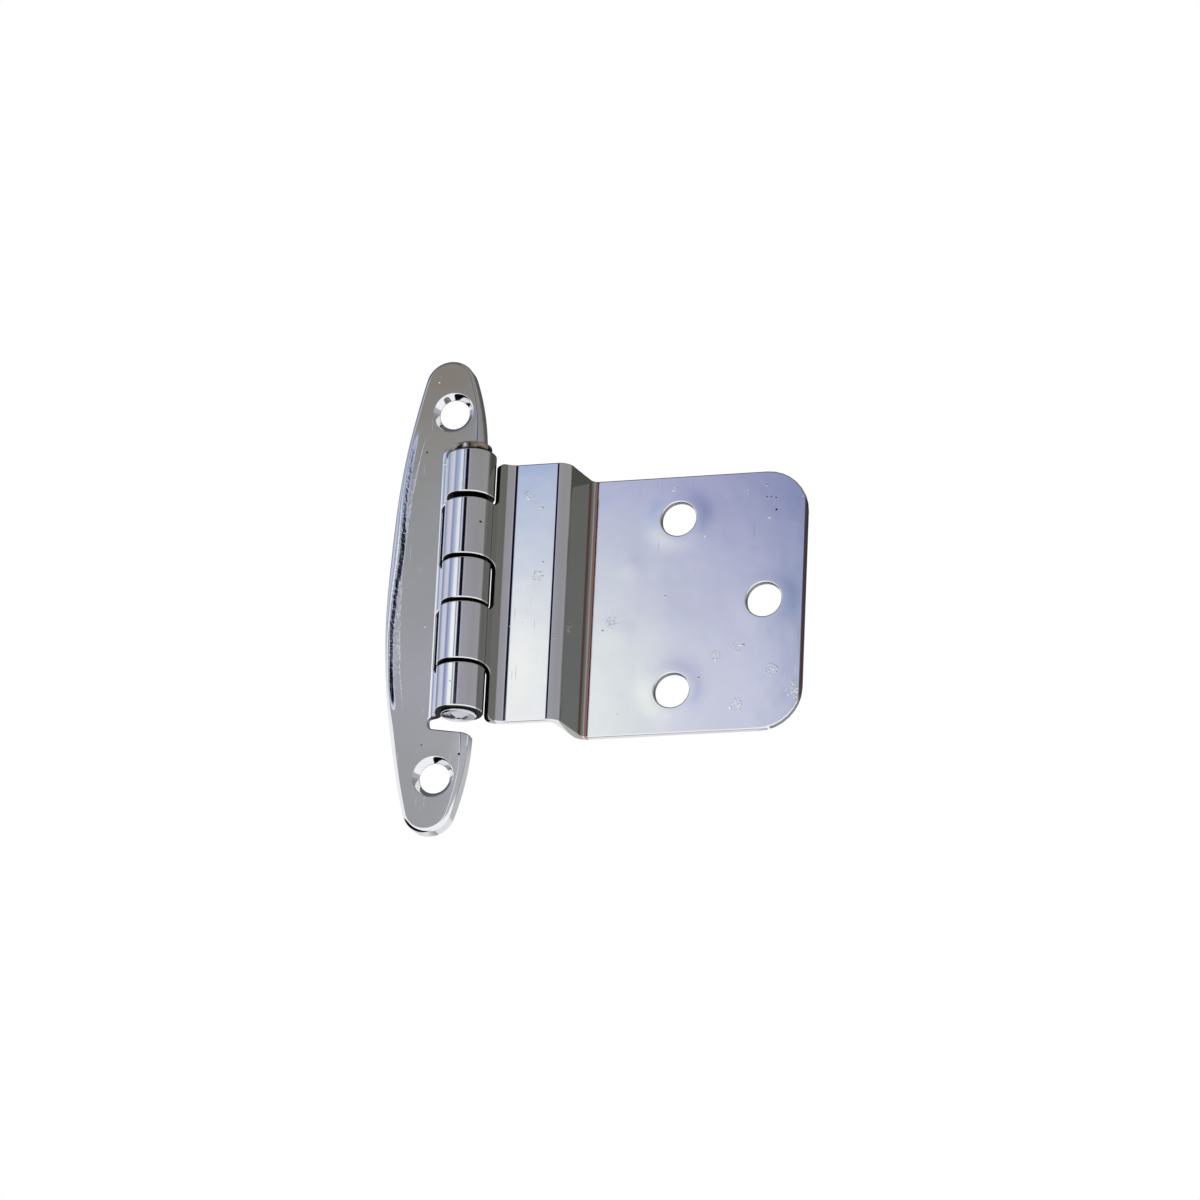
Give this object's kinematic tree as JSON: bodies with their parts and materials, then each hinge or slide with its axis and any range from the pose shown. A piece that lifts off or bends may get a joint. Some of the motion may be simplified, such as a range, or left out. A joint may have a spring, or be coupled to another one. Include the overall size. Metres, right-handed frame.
{
  "type": "inset hinge",
  "caption": "Inset cabinet hinge with a pointed frame leaf, a pinned barrel and a door leaf stepped back to a plate with rounded corners.",
  "frame": {"origin": "middle between the frame leaf's two screw holes, on the leaf's inner face, where the screws leave the sheet", "axes": "+Z along the pin and the screw line, +X from the frame leaf towards the door plate, -Y out into the room"},
  "size_m": [0.0576, 0.0149, 0.0698],
  "materials": {
    "frame_chrome": "bright plated",
    "door_chrome": "bright plated",
    "pin_steel": "plated, worn at the head's rim"
  },
  "bodies": {
    "frame_side": {"frame_leaf": "frame_chrome", "hinge_pin": "pin_steel"},
    "door_side": {"door_leaf": "door_chrome"}
  },
  "joints": [
    {"name": "door_swing", "type": "hinge", "parent": "frame_side", "child": "door_side", "pos_m": [0.00355, -0.00201, 0], "axis": [0, 0, -1], "range_deg": [0, 180]}
  ]
}
